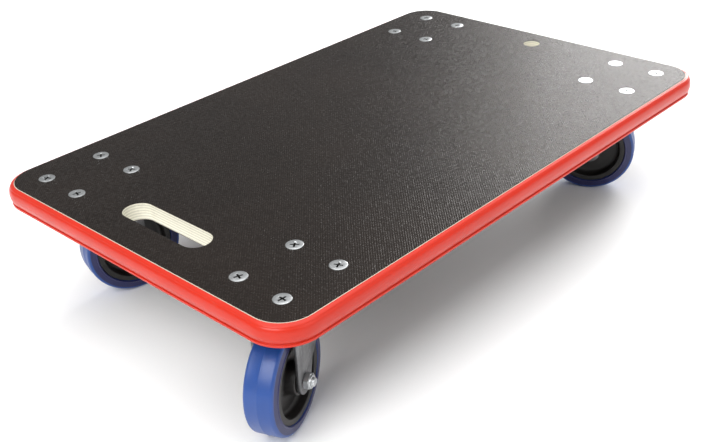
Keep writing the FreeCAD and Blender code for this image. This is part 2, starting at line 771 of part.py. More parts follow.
def make_wheel_core(corner):
    """The nylon core: rim with a bead, smooth recessed web, and the hub."""
    body = new_body(f"{corner.name}_wheel_core")
    place_on_axle(body, corner)
    rim, web, hub = tyre_width / 2 - 1, web_thickness / 2, hub_width / 2
    inner = rim_radius - rim_thickness
    bead, neck = bead_width / 2 - tyre_clearance, bead_width / 2 - bead_height / 2 - tyre_clearance
    crest = rim_radius + bead_height - tyre_clearance
    soft = web_fillet
    right = [
        (hub, hub_bore), (hub, hub_radius - 1), (hub - 1, hub_radius),
        (web + soft, hub_radius + 1), (web, hub_radius + 1 + soft, soft, -1),
        (web, inner - 1 - soft), (web + soft, inner - 1, soft, -1), (rim - 1, inner),
        (rim, inner + 0.8), (rim, rim_radius), (bead, rim_radius), (neck, crest),
    ]
    section = new_sketch(body, "section", YZ)
    outline(section, right + mirrored(right))
    spin(body, section, "H_Axis")
    return body


def make_roller_bearing(corner):
    """The roller cage between sleeve and hub, with its rollers as separate solids."""
    body = new_body(f"{corner.name}_roller_bearing")
    place_on_axle(body, corner)
    ring = new_sketch(body, "cage", XZ)
    circle(ring, 0, 0, roller_ring + cage_wall / 2)
    circle(ring, 0, 0, roller_ring - cage_wall / 2)
    pad(body, ring, hub_width - 1, both=True)
    window = circle(new_sketch(body, "window", XZ), roller_ring, 0, roller_radius + cage_play)
    pattern(body, [pocket(body, window, roller_length + 1, both=True)], "Y_Axis", roller_count)
    roller = circle(new_sketch(body, "roller", XZ), roller_ring, 0, roller_radius)
    pattern(body, [pad(body, roller, roller_length, both=True)], "Y_Axis", roller_count)
    return body


# ---------------------------------------------------------------- assembly

class Corner:
    """One castor: its name, where its kingpin stands and which way it trails at rest."""

    def __init__(self, name, sign_x, sign_y, turn):
        self.name = name
        self.x = sign_x * castor_x
        self.y = sign_y * castor_y
        self.turn = turn


CORNERS = [
    Corner("front_left", -1, -1, turn_front_left),
    Corner("front_right", -1, 1, turn_front_right),
    Corner("rear_left", 1, -1, turn_rear_left),
    Corner("rear_right", 1, 1, turn_rear_right),
]
CASTOR_PIECES = [
    make_mounting_plate, make_kingpin, make_race_cup, make_swivel_balls, make_deck_bolts,
    make_deck_nuts, make_fork, make_axle_bolt, make_axle_nut, make_axle_sleeve, make_tyre,
    make_wheel_core, make_roller_bearing,
]


def build():
    made = [
        make_deck_board(),
        make_film("top_film", deck_bottom + deck_thickness - film_thickness, deck_edge_chamfer,
                  bolt_head_radius + head_play),
        make_film("underside_film", deck_bottom, 0, bolt_hole_radius),
        make_edge_strip(),
    ]
    for corner in CORNERS:
        made += [piece(corner) for piece in CASTOR_PIECES]
    DOC.recompute()
    return made


def export(bodies):
    """Checks every object, then writes one STEP file for each sub-part."""
    for obj in DOC.Objects:
        if "Invalid" in obj.State or "Error" in obj.State:
            raise RuntimeError(f"{obj.Label} failed: {obj.State}")
    os.makedirs(OUT, exist_ok=True)
    for body in bodies:
        shape = body.Shape
        if shape.isNull() or not shape.isValid() or not shape.Solids:
            raise RuntimeError(f"{body.Label} has no valid solid")
        shape.exportStep(os.path.join(OUT, f"{body.Label}.step"))
        print(f"{body.Label}: {len(shape.Solids)} solids, {shape.Volume / 1000:.2f} cm3")


export(build())
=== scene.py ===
import json
import math

import bmesh
import bpy
from mathutils import Matrix, Vector


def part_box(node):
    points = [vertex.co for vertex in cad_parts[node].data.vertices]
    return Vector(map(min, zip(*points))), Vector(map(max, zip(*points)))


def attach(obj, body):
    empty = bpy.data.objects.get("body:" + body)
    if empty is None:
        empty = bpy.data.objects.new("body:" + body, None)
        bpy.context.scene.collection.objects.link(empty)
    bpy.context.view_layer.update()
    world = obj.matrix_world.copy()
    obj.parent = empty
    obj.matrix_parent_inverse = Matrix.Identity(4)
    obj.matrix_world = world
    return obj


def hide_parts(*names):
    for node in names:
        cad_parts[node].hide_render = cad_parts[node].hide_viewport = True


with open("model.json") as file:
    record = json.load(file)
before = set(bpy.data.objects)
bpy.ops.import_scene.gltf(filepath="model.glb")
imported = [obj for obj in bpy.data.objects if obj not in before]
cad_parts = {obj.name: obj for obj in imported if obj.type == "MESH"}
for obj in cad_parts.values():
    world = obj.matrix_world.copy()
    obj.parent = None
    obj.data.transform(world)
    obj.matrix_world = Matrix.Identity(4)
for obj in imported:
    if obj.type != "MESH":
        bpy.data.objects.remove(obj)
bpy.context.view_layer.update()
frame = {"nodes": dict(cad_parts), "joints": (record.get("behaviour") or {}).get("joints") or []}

bl_info = {
    "name": "Transport Dolly",
    "version": (1, 0, 0),
    "blender": (4, 5, 0),
    "location": "View3D > Sidebar > Dolly",
    "description": "Builds the looks of a flat plywood transport dolly around its CAD frame",
    "category": "Object",
}

CORNERS = ("front_left", "front_right", "rear_left", "rear_right")
JOINTS = {joint["name"]: joint for joint in frame["joints"]}
NODES = frame["nodes"]
MM = 0.001


# ---------------------------------------------------------------- places read from the frame

def swivel_centre(corner):
    """Where a castor's kingpin stands, at floor level."""
    x, y, _ = JOINTS[f"swivel_{corner}_turn"]["pos_m"]
    return Vector((x, y, 0))


def wheel_axes(corner):
    """Places a castor's own axes, X along the trail and Y along the axle, at its wheel's centre."""
    joint = JOINTS[f"wheel_{corner}_spin"]
    axle = Vector(joint["axis"])
    trail = axle.cross(Vector((0, 0, 1)))
    turn = Matrix((trail, axle, (0, 0, 1))).transposed().to_4x4()
    return Matrix.Translation(joint["pos_m"]) @ turn


def board_box():
    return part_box("deck_board")


def deck_top():
    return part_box("top_film")[1].z


# ---------------------------------------------------------------- shader maths

class Shade:
    """One value in a material's node tree, usable in Python expressions."""

    def __init__(self, finish, socket):
        self.finish = finish
        self.socket = socket

    def join(self, operation, first, second=None):
        values = [first] if second is None else [first, second]
        return self.finish.node("Math", {"operation": operation}, dict(enumerate(values)))

    def __add__(self, other):
        return self.join("ADD", self, other)

    def __radd__(self, other):
        return self.join("ADD", other, self)

    def __sub__(self, other):
        return self.join("SUBTRACT", self, other)

    def __rsub__(self, other):
        return self.join("SUBTRACT", other, self)

    def __mul__(self, other):
        return self.join("MULTIPLY", self, other)

    def __rmul__(self, other):
        return self.join("MULTIPLY", other, self)

    def sine(self):
        return self.join("SINE", self)

    def absolute(self):
        return self.join("ABSOLUTE", self)

    def within(self, low, high):
        """Turns a span of this value into 0 to 1, with soft ends."""
        settings = {"interpolation_type": "SMOOTHSTEP", "clamp": True}
        return self.finish.node("MapRange", settings, {0: self, 1: low, 2: high, 3: 0.0, 4: 1.0})


class Finish:
    """A material whose look is written as expressions on its shader's sockets."""

    def __init__(self, name):
        self.material = bpy.data.materials.new(name)
        self.material.use_nodes = True
        self.tree = self.material.node_tree
        self.shader = self.tree.nodes["Principled BSDF"]

    def plug(self, socket, value):
        if isinstance(value, Shade):
            self.tree.links.new(value.socket, socket)
        elif isinstance(value, tuple) and len(value) == 3 and socket.type == "RGBA":
            socket.default_value = (*value, 1.0)
        else:
            socket.default_value = value

    def node(self, kind, settings=None, values=None, out=0):
        """Adds a node: its settings first, then its sockets by name or number."""
        made = self.tree.nodes.new(f"ShaderNode{kind}")
        for name, value in (settings or {}).items():
            setattr(made, name, value)
        for key, value in (values or {}).items():
            self.plug(made.inputs[key], value)
        return Shade(self, made.outputs[out])

    def spot(self, scale=(1, 1, 1), turn=(0, 0, 0)):
        """The point on the piece, in metres, stretched and turned."""
        place = self.node("TexCoord", out="Object")
        return self.node("Mapping", {}, {"Vector": place, "Scale": scale, "Rotation": turn})

    def axes(self):
        """The point's X, Y and Z as three values."""
        split = self.tree.nodes.new("ShaderNodeSeparateXYZ")
        self.plug(split.inputs[0], self.node("TexCoord", out="Object"))
        return [Shade(self, output) for output in split.outputs]

    def noise(self, scale, detail=3.0, roughness=0.55, stretch=(1, 1, 1)):
        values = {"Vector": self.spot(stretch), "Scale": scale, "Detail": detail,
                  "Roughness": roughness}
        return self.node("TexNoise", {}, values)

    def blend(self, factor, first, second, kind="MIX"):
        """A colour between two, or one colour laid over another."""
        made = self.tree.nodes.new("ShaderNodeMix")
        made.data_type = "RGBA"
        made.blend_type = kind
        for number, value in ((0, factor), (6, first), (7, second)):
            self.plug(made.inputs[number], value)
        return Shade(self, made.outputs[2])

    def relief(self, height, distance, strength=1.0, under=None):
        """A bump of the given depth in metres."""
        values = {"Height": height, "Distance": distance, "Strength": strength}
        if under is not None:
            values["Normal"] = under
        return self.node("Bump", {}, values)

    def set(self, **values):
        for name, value in values.items():
            self.plug(self.shader.inputs[name.replace("_", " ")], value)
        return self


FINISHES = {}


def finish_named(name):
    return FINISHES[name].material


def woven_film(look):
    """Dark phenolic film with the fine imprint of a wire mesh, a little worn and dusty, and a
    painted glint of light on the weave's crests.
    """
    finish = Finish("anti_slip_film")
    x, y, _ = finish.axes()
    wave = 2 * math.pi / look.weave_pitch
    warp = (x * wave).sine()
    weft = (y * wave).sine()
    knots = (warp * weft) * 0.5 + 0.5
    grain = finish.noise(900, 2.0)
    cloud = finish.noise(5.5, 4.0, 0.6)
    scuff = finish.noise(60, 5.0, 0.65, (0.35, 1.0, 1.0)).within(0.56, 0.74)
    speckle = finish.noise(430, 2.0, 0.6).within(0.40, 0.60)
    # The weave's crests, broken up by speckle: they carry the coat and a painted glint.
    crest_with_painted_glint = knots.within(0.74, 1.0) * (0.15 + 0.85 * speckle)
    dark = tuple(look.film_colour)
    worn = tuple(look.film_dust_and_glint_colour)
    base = finish.blend(cloud.within(0.32, 0.72) * 0.55, dark, worn)
    # Painted highlight: the crests are lightened towards six times the dust colour, more where
    # scuffed.
    base = finish.blend(crest_with_painted_glint * (0.45 + 0.35 * scuff), base, tuple(6 * c for c in worn))
    bump = finish.relief(knots * (0.55 + 0.45 * speckle) + 0.12 * grain, look.weave_depth)
    rough = 0.34 + 0.08 * cloud - 0.16 * speckle + 0.06 * scuff
    finish.set(Base_Color=base, Roughness=rough, Normal=bump)
    finish.set(Coat_Weight=crest_with_painted_glint * 0.8, Coat_Roughness=0.2)
    return finish.set(Specular_IOR_Level=0.16, Specular_Tint=(1.0, 0.84, 0.74))


def smooth_film():
    """The plain film of the deck's underside, smooth with faint flow marks."""
    finish = Finish("smooth_film")
    flow = finish.noise(14, 4.0, 0.6, (0.3, 1.0, 1.0))
    specks = finish.noise(420, 2.0).within(0.66, 0.78)
    base = finish.blend(flow, (0.018, 0.009, 0.006), (0.038, 0.021, 0.014))
    base = finish.blend(specks * 0.35, base, (0.09, 0.07, 0.055))
    bump = finish.relief(finish.noise(260, 3.0), 0.00012)
    return finish.set(Base_Color=base, Roughness=0.28 + 0.16 * flow, Normal=bump)


def cut_plywood(look):
    """Sawn plywood: plies seen edge-on, each with its own grain direction."""
    finish = Finish("cut_plywood")
    _, _, z = finish.axes()
    low = board_box()[0].z
    plies = (z - low) * (math.pi / look.ply_thickness)
    end_grain = plies.sine().within(-0.25, 0.25)
    glue = 1 - plies.sine().absolute().within(0.0, 0.22)
    long_fibres = finish.noise(160, 6.0, 0.7, (0.16, 0.16, 3.0))
    pores = finish.noise(1400, 3.0, 0.6).within(0.55, 0.75)
    warm = tuple(look.ply_colour)
    pale = tuple(min(1.0, 1.18 * c) for c in warm)
    base = finish.blend(end_grain * 0.75, pale, tuple(0.84 * c for c in warm))
    base = finish.blend(long_fibres.within(0.4, 0.8) * 0.2, base, tuple(0.6 * c for c in warm))
    base = finish.blend(pores * end_grain * 0.5, base, (0.20, 0.12, 0.06))
    base = finish.blend(glue * 0.22, base, (0.14, 0.075, 0.035))
    bump = finish.relief(long_fibres + 0.6 * end_grain * pores + glue * 0.3, 0.0002)
    return finish.set(Base_Color=base, Roughness=0.62 + 0.14 * end_grain, Normal=bump)


def red_rubber(look):
    """Soft glossy strip: even colour, faint orange peel and a little handling haze."""
    finish = Finish("red_rubber")
    haze = finish.noise(22, 4.0, 0.6)
    peel = finish.noise(520, 2.0)
    rub = finish.noise(75, 5.0, 0.7, (0.25, 0.25, 1.0)).within(0.58, 0.8)
    red = tuple(look.strip_colour)
    base = finish.blend(haze.within(0.3, 0.75) * 0.4, red, tuple(0.82 * c for c in red))
    base = finish.blend(rub * 0.14, base, (0.75, 0.30, 0.20))
    bump = finish.relief(peel + 0.3 * haze, 0.00005)
    finish.set(Base_Color=base, Roughness=0.27 + 0.14 * haze + 0.12 * rub, Normal=bump)
    return finish.set(Coat_Weight=0.1 - 0.06 * rub, Coat_Roughness=0.12, Specular_IOR_Level=0.36)


def zinc(name, tint, rough, streak=(1, 1, 1), painted_shade_below=None):
    """Zinc-plated steel: mottled grey with fine scratches, and painted shade below a level, which
    darkens a sunk screw's recess and rim.
    """
    finish = Finish(name)
    mottle = finish.noise(70, 5.0, 0.65)
    spangle = finish.noise(260, 4.0, 0.6)
    scratch = finish.noise(480, 5.0, 0.75, streak).within(0.55, 0.7)
    base = finish.blend(mottle.within(0.3, 0.7), tint, tuple(0.68 * c for c in tint))
    base = finish.blend(spangle.within(0.5, 0.7) * 0.3, base, tuple(min(1, 1.3 * c) for c in tint))
    base = finish.blend(scratch * 0.25, base, (0.78, 0.79, 0.80))
    bump = finish.relief(spangle + scratch * 0.6, 0.00005)
    shine = rough + 0.16 * mottle - 0.08 * scratch
    if painted_shade_below is not None:
        # Painted shade: below the deck's top the zinc turns near black, and rougher.
        unshaded = finish.axes()[2].within(painted_shade_below - 0.5 * MM, painted_shade_below + 0.15 * MM)
        base = finish.blend(unshaded, (0.035, 0.033, 0.031), base)
        shine = shine + 0.25 * (1 - unshaded)
    return finish.set(Base_Color=base, Metallic=1.0, Roughness=shine, Normal=bump)


def blue_tyre(name, blue):
    """Elastic rubber, satin, with scuffs on the running face."""
    finish = Finish(name)
    cloud = finish.noise(45, 4.0, 0.6)
    scuff = finish.noise(190, 5.0, 0.7).within(0.58, 0.76)
    fine = finish.noise(900, 2.0)
    base = finish.blend(cloud.within(0.3, 0.7) * 0.5, blue, tuple(0.78 * c for c in blue))
    base = finish.blend(scuff * 0.22, base, tuple(1.4 * c + 0.01 for c in blue))
    bump = finish.relief(fine + 0.7 * scuff, 0.00006)
    finish.set(Base_Color=base, Roughness=0.31 + 0.16 * cloud + 0.1 * scuff, Normal=bump)
    return finish.set(Coat_Weight=0.12, Coat_Roughness=0.2)


def black_nylon(look):
    """Moulded black nylon with a fine spark-eroded texture and dust in the hollows."""
    finish = Finish("black_nylon")
    cloud = finish.noise(38, 4.0, 0.6)
    texture = finish.noise(1100, 2.0)
    flow = finish.noise(150, 4.0, 0.65).within(0.52, 0.75)
    black = tuple(look.core_colour)
    base = finish.blend(cloud.within(0.35, 0.75) * 0.6, black, tuple(2.1 * c for c in black))
    base = finish.blend(flow * 0.16, base, (0.085, 0.078, 0.070))
    bump = finish.relief(texture + 0.5 * flow, 0.00005)
    return finish.set(Base_Color=base, Roughness=0.36 + 0.14 * cloud, Normal=bump)


def mix_finishes(look):
    """Makes every finish of the dolly once."""
    FINISHES["anti_slip_film"] = woven_film(look)
    FINISHES["smooth_film"] = smooth_film()
    FINISHES["plywood"] = cut_plywood(look)
    FINISHES["red_rubber"] = red_rubber(look)
    FINISHES["blue_tyre"] = blue_tyre("blue_tyre", tuple(look.tyre_colour))
    # The flanks' deeper blue copy of the tyre is painted shade, for the side faces that turn from
    # the light.
    FINISHES["blue_flank_painted_shade"] = blue_tyre("blue_flank_painted_shade", tuple(look.flank_shade_colour))
    FINISHES["black_nylon"] = black_nylon(look)
    fork, bright = tuple(look.fork_colour), tuple(look.bolt_colour)
    FINISHES["zinc_fork"] = zinc("zinc_fork", fork, 0.34, (1.0, 1.0, 0.12))
    FINISHES["zinc_plate"] = zinc("zinc_plate", tuple(1.2 * c for c in fork), 0.32, (0.1, 1.0, 1.0))
    FINISHES["zinc_bolt"] = zinc("zinc_bolt", bright, 0.26)
    # The screws' zinc carries painted shade in its recess and round its sunk rim.
    FINISHES["screw_zinc_painted_shade"] = zinc("screw_zinc_painted_shade", bright, 0.26, painted_shade_below=deck_top())
    FINISHES["cut_edge"] = zinc("cut_edge", tuple(min(1, 1.15 * c) for c in bright), 0.2)
    FINISHES["bearing_steel"] = zinc("bearing_steel", (0.62, 0.63, 0.65), 0.12)
    FINISHES["steel_tube"] = zinc("steel_tube", (0.50, 0.50, 0.51), 0.24, (1.0, 0.1, 1.0))
    FINISHES["cage_and_rollers"] = zinc("cage_and_rollers", (0.42, 0.41, 0.39), 0.28)


# ---------------------------------------------------------------- mesh tools

def add_object(name, mesh, *finishes):
    thing = bpy.data.objects.new(name, mesh)
    bpy.context.scene.collection.objects.link(thing)
    mesh.materials.clear()
    for finish in finishes:
        mesh.materials.append(finish_named(finish))
    return thing


def mesh_from(shape, name, matrix=None, smooth_angle=32):
    """Finishes a bmesh: moved into place, welded, faces outwards, smooth up to an angle."""
    bmesh.ops.remove_doubles(shape, verts=shape.verts, dist=1e-7)
    bmesh.ops.recalc_face_normals(shape, faces=shape.faces)
    if matrix is not None:
        shape.transform(matrix)
    limit = math.radians(smooth_angle)
    for face in shape.faces:
        face.smooth = True
    for edge in shape.edges:
        if len(edge.link_faces) == 2 and edge.calc_face_angle(0) > limit:
            edge.smooth = False
    mesh = bpy.data.meshes.new(name)
    shape.to_mesh(mesh)
    shape.free()
    return mesh


def arc_points(centre, radius, start, end, steps):
    """Points of an arc in the profile plane, angles in degrees."""
    turns = [math.radians(start + (end - start) * i / steps) for i in range(steps + 1)]
    return [(centre[0] + radius * math.cos(a), centre[1] + radius * math.sin(a)) for a in turns]


def soften(corners, radius, steps=4):
    """Rounds each corner of a closed profile by a radius, less where its sides are short."""
    soft = []
    count = len(corners)
    for i, corner in enumerate(corners):
        here = Vector(corner[:2])
        size = corner[2] if len(corner) > 2 else radius
        before = Vector(corners[i - 1][:2]) - here
        after = Vector(corners[(i + 1) % count][:2]) - here
        reach = min(size, 0.45 * before.length, 0.45 * after.length)
        if reach < 1e-7:
            soft.append(tuple(here))
            continue
        first, last = here + before.normalized() * reach, here + after.normalized() * reach
        for k in range(steps + 1):
            t = k / steps
            spot = first * (1 - t) ** 2 + here * 2 * t * (1 - t) + last * t ** 2
            soft.append(tuple(spot))
    return soft


def bridge(shape, upper, lower):
    """Joins two rings of as many vertices with a band of faces."""
    for k in range(len(upper)):
        j = (k + 1) % len(upper)
        shape.faces.new((upper[k], lower[k], lower[j], upper[j]))


def turned(profile, steps, matrix, name, smooth_angle=32):
    """A closed profile of (along Y, radius) turned about the Y axis."""
    shape = bmesh.new()
    rings = []
    for k in range(steps):
        a = 2 * math.pi * k / steps
        rings.append([shape.verts.new((r * math.cos(a), y, r * math.sin(a))) for y, r in profile])
    for k in range(steps):
        bridge(shape, rings[k], rings[(k + 1) % steps])
    return mesh_from(shape, name, matrix, smooth_angle)


def shade_smooth(mesh, angle):
    """Smooth shading that stays sharp over an angle, on a mesh that is already in place."""
    shape = bmesh.new()
    shape.from_mesh(mesh)
    bmesh.ops.remove_doubles(shape, verts=shape.verts, dist=1e-7)
    bmesh.ops.recalc_face_normals(shape, faces=shape.faces)
    for face in shape.faces:
        face.smooth = True
    for edge in shape.edges:
        sharp = len(edge.link_faces) == 2 and edge.calc_face_angle(0) > math.radians(angle)
        edge.smooth = not sharp
    shape.to_mesh(mesh)
    shape.free()


def softened(node, name, finish, width, angle=35, edge_finish=None):
    """A copy of a CAD node with its sharp edges rounded over."""
    mesh = NODES[node].data.copy()
    mesh.name = name
    shape = bmesh.new()
    shape.from_mesh(mesh)
    bmesh.ops.remove_doubles(shape, verts=shape.verts, dist=2e-6)
    bmesh.ops.dissolve_limit(shape, angle_limit=math.radians(0.6), verts=shape.verts,
                             edges=shape.edges)
    shape.to_mesh(mesh)
    shape.free()
    thing = add_object(name, mesh, *([finish, edge_finish] if edge_finish else [finish]))
    bevel = thing.modifiers.new("edge_break", "BEVEL")
    bevel.width = width
    bevel.segments = 2
    bevel.limit_method = "ANGLE"
    bevel.angle_limit = math.radians(angle)
    bevel.use_clamp_overlap = True
    bevel.harden_normals = False
    if edge_finish:
        bevel.material = 1
    graph = bpy.context.evaluated_depsgraph_get()
    rounded = bpy.data.meshes.new_from_object(thing.evaluated_get(graph), depsgraph=graph)
    thing.modifiers.remove(bevel)
    thing.data = rounded
    rounded.name = name
    shade_smooth(rounded, 30)
    return thing


def give(piece, body, slot, *nodes):
    """Hands a finished piece to the frame."""
    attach(piece, body)
    if nodes:
        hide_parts(*nodes)
    return piece


def paint(node, slot):
    """Gives a CAD node its detailed finish."""
    thing = NODES[node]
    thing.data.materials.clear()
    thing.data.materials.append(finish_named(slot))


# ---------------------------------------------------------------- geometry node trees

SOCKETS = {float: "NodeSocketFloat", int: "NodeSocketInt", tuple: "NodeSocketVector",
           bpy.types.Material: "NodeSocketMaterial", bpy.types.Object: "NodeSocketObject"}


class Grower:
    """A Geometry Nodes tree with named inputs, grown into a plain mesh."""

    def __init__(self, name, **sizes):
        self.tree = bpy.data.node_groups.new(name, "GeometryNodeTree")
        self.sizes = sizes
        face = self.tree.interface
        face.new_socket("Geometry", in_out="OUTPUT", socket_type="NodeSocketGeometry")
        for label, value in sizes.items():
            face.new_socket(label, in_out="INPUT", socket_type=SOCKETS[type(value)])
        self.inputs = self.tree.nodes.new("NodeGroupInput")
        self.end = self.tree.nodes.new("NodeGroupOutput")

    def size(self, label):
        return self.inputs.outputs[label]

    def node(self, kind, settings=None, values=None, out=0):
        prefix = "" if kind.startswith(("Shader", "Function")) else "GeometryNode"
        made = self.tree.nodes.new(prefix + kind)
        for name, value in (settings or {}).items():
            setattr(made, name, value)
        for key, value in (values or {}).items():
            if isinstance(value, bpy.types.NodeSocket):
                self.tree.links.new(value, made.inputs[key])
            else:
                made.inputs[key].default_value = value
        return made.outputs[out]

    def vector(self, x=0.0, y=0.0, z=0.0):
        return self.node("ShaderNodeCombineXYZ", {}, {0: x, 1: y, 2: z})

    def finish(self, geometry):
        """Realizes what was grown and gives it the tree's own finish."""
        whole = self.node("RealizeInstances", {}, {0: geometry})
        painted = self.node("SetMaterial", {}, {0: whole, 2: self.size("Finish")})
        self.tree.links.new(painted, self.end.inputs[0])

    def grow(self, name, matrix=None):
        """Runs the tree on an empty object and returns its result as a mesh object."""
        holder = bpy.data.objects.new(name, bpy.data.meshes.new(name))
        bpy.context.scene.collection.objects.link(holder)
        modifier = holder.modifiers.new("grow", "NODES")
        modifier.node_group = self.tree
        for item in self.tree.interface.items_tree:
            if item.in_out == "INPUT":
                modifier[item.identifier] = self.sizes[item.name]
        graph = bpy.context.evaluated_depsgraph_get()
        grown = bpy.data.meshes.new_from_object(holder.evaluated_get(graph), depsgraph=graph)
        holder.modifiers.remove(modifier)
        if len(grown.polygons) == 0:
            raise RuntimeError(f"{name}: its tree grew nothing")
        if matrix is not None:
            grown.transform(matrix)
        grown.name = name
        holder.data = grown
        return holder


def hidden_seed(name, mesh):
    """An object that only lends its mesh to a tree; it is removed once that tree has run."""
    thing = bpy.data.objects.new(name, mesh)
    bpy.context.scene.collection.objects.link(thing)
    return thing


def drop(thing):
    bpy.data.objects.remove(thing)


# ---------------------------------------------------------------- sizes and colours

def length(name, description, value):
    return bpy.props.FloatProperty(name=name, description=description, default=value, min=0.0,
                                   unit="LENGTH", subtype="DISTANCE", precision=5)


def colour(name, description, value):
    return bpy.props.FloatVectorProperty(name=name, description=description, default=value, size=3,
                                         min=0.0, max=1.0, subtype="COLOR")


def turn(name, description, degrees):
    return bpy.props.FloatProperty(name=name, description=description, subtype="ANGLE",
                                   default=math.radians(degrees))


def plain(name, description, value):
    return bpy.props.FloatProperty(name=name, description=description, default=value)


class DollyColours(bpy.types.PropertyGroup):
    """Colours and fine surface sizes of the dolly's finishes."""

    film_colour: colour("Film", "Anti-slip film in its hollows", (0.0045, 0.0029, 0.0022))
    # This dust colour is also the base of the painted glint on the weave's crests.
    film_dust_and_glint_colour: colour("Worn film", "Anti-slip film where it is dusty",
                             (0.0120, 0.0080, 0.0060))
    weave_pitch: length("Weave pitch", "Distance between the imprints of two wires", 2.9 * MM)
    weave_depth: length("Weave depth", "Depth of the wire imprint", 0.34 * MM)
    ply_colour: colour("Plywood", "Sawn birch plies", (0.68, 0.66, 0.55))
    ply_thickness: length("Ply", "Thickness of one ply", 1.4 * MM)
    strip_colour: colour("Edge strip", "Soft red strip", (0.55, 0.020, 0.005))
    tyre_colour: colour("Tyre", "Blue elastic rubber", (0.011, 0.060, 0.265))
    # Painted shade: the flanks' deeper blue stands for the shade they lie in.
    flank_shade_colour: colour("Flank", "Deeper blue of the tyre's flanks", (0.011, 0.013, 0.085))
    core_colour: colour("Wheel core", "Black nylon", (0.0085, 0.0075, 0.0070))
    fork_colour: colour("Fork", "Dull zinc plating", (0.20, 0.20, 0.205))
    bolt_colour: colour("Bolts", "Bright zinc plating", (0.64, 0.66, 0.67))


class DollySizes(bpy.types.PropertyGroup):
    """Sizes of the pieces that are made here; places come from the frame."""

    deck_corner: length("Deck corner", "Radius of the deck's corners", 32.0 * MM)
    bolts_along: length("Bolts along", "Bolt spacing of a castor along the deck", 63.0 * MM)
    bolts_across: length("Bolts across", "Bolt spacing of a castor across the deck", 51.5 * MM)
    screw_radius: length("Screw head", "Radius of a sunk screw head", 8.0 * MM)
    screw_proud: length("Screw proud", "How far a head's face stands above the deck", 0.3 * MM)
    shank_radius: length("Screw shank", "Radius of a screw's shank", 4.0 * MM)
    recess_span: length("Recess", "Span of the cross recess", 8.6 * MM)
    recess_wing: length("Recess wing", "Width of one wing of the cross recess", 1.9 * MM)
    recess_depth: length("Recess depth", "Depth of the cross recess", 2.6 * MM)
    thread_play: length("Thread play", "Gap between a nut's bore and the shank", 0.05 * MM)
    nut_flats: length("Nut", "Distance across a nut's flats", 13.0 * MM)
    barb_depth: length("Barb depth", "How far the strip's barb reaches into the deck", 9.0 * MM)
    barb_height: length("Barb height", "Thickness of the strip's barb", 3.0 * MM)
    strip_round: length("Strip rounding", "Rounding of the strip's small edges", 0.5 * MM)
    parting_line: length("Parting line", "Height of the mould line round the tread", 0.3 * MM)
    tyre_width: length("Tyre", "Width of the tyre", 30.0 * MM)
    tyre_thickness: length("Tyre thickness", "From the core to the running face", 10.5 * MM)
    tread_width: length("Tread", "Width of the tyre's flat running face", 20.5 * MM)
    shoulder: length("Shoulder", "Rounding of the tyre's shoulders", 3.2 * MM)
    side_bead: length("Side bead", "Step of the tyre's bead beside the core", 0.9 * MM)
    web: length("Web", "Thickness of the wheel core's web", 8.0 * MM)
    hub_radius: length("Hub", "Outer radius of the hub", 13.5 * MM)
    hub_width: length("Hub width", "Width of the hub", 33.0 * MM)
    hub_bore: length("Hub bore", "Radius of the hub's bore", 9.15 * MM)
    rim: length("Rim", "Thickness of the core's rim", 6.0 * MM)
    fork_width: length("Fork width", "Distance over the fork's legs", 40.8 * MM)
    axle_end: length("Axle end", "From the fork's leg to the bolt's end", 8.6 * MM)
    upper_ring: length("Upper ring", "Radius of the upper ball row", 21.5 * MM)
    upper_ball: length("Upper ball", "Radius of an upper ball", 2.5 * MM)
    lower_ring: length("Lower ring", "Radius of the lower ball row", 12.5 * MM)
    lower_ball: length("Lower ball", "Radius of a lower ball", 2.0 * MM)
    edge_break: length("Edge break", "Small rounding on pressed steel edges", 0.45 * MM)


class DollyView(bpy.types.PropertyGroup):
    """Where the camera stands and how strong the lights are."""

    place: bpy.props.FloatVectorProperty(
        name="Place", description="Where the camera stands", size=3, subtype="XYZ",
        unit="LENGTH", default=(-0.7227, -0.6808, 0.5826))
    heading: turn("Heading", "Camera's turn from +Y towards +X", 45.257)
    tilt: turn("Tilt", "How far the camera looks down", 29.619)
    roll: turn("Roll", "Camera's roll", -3.34)
    lens: plain("Lens", "Focal length in millimetres", 52.57)
    surround: plain("Surround", "Strength of the even white light", 0.42)
    key_power: plain("Key light", "Power in watts", 44)
    back_power: plain("Back light", "Power in watts", 30)
    top_power: plain("Top light", "Power in watts", 58)
    side_power: plain("Side light", "Power in watts", 12)


class DOLLY_OT_finishes(bpy.types.Operator):
    """Mix the dolly's finishes from its colours"""

    bl_idname = "dolly.finishes"
    bl_label = "Finishes"

    def execute(self, context):
        mix_finishes(context.scene.dolly_colours)
        return {"FINISHED"}


# ---------------------------------------------------------------- deck

class DOLLY_OT_deck(bpy.types.Operator):
    """Finish the plywood board and its two films"""

    bl_idname = "dolly.deck"
    bl_label = "Deck"

    def execute(self, context):
        paint("deck_board", "plywood")
        paint("top_film", "anti_slip_film")
        paint("underside_film", "smooth_film")
        return {"FINISHED"}


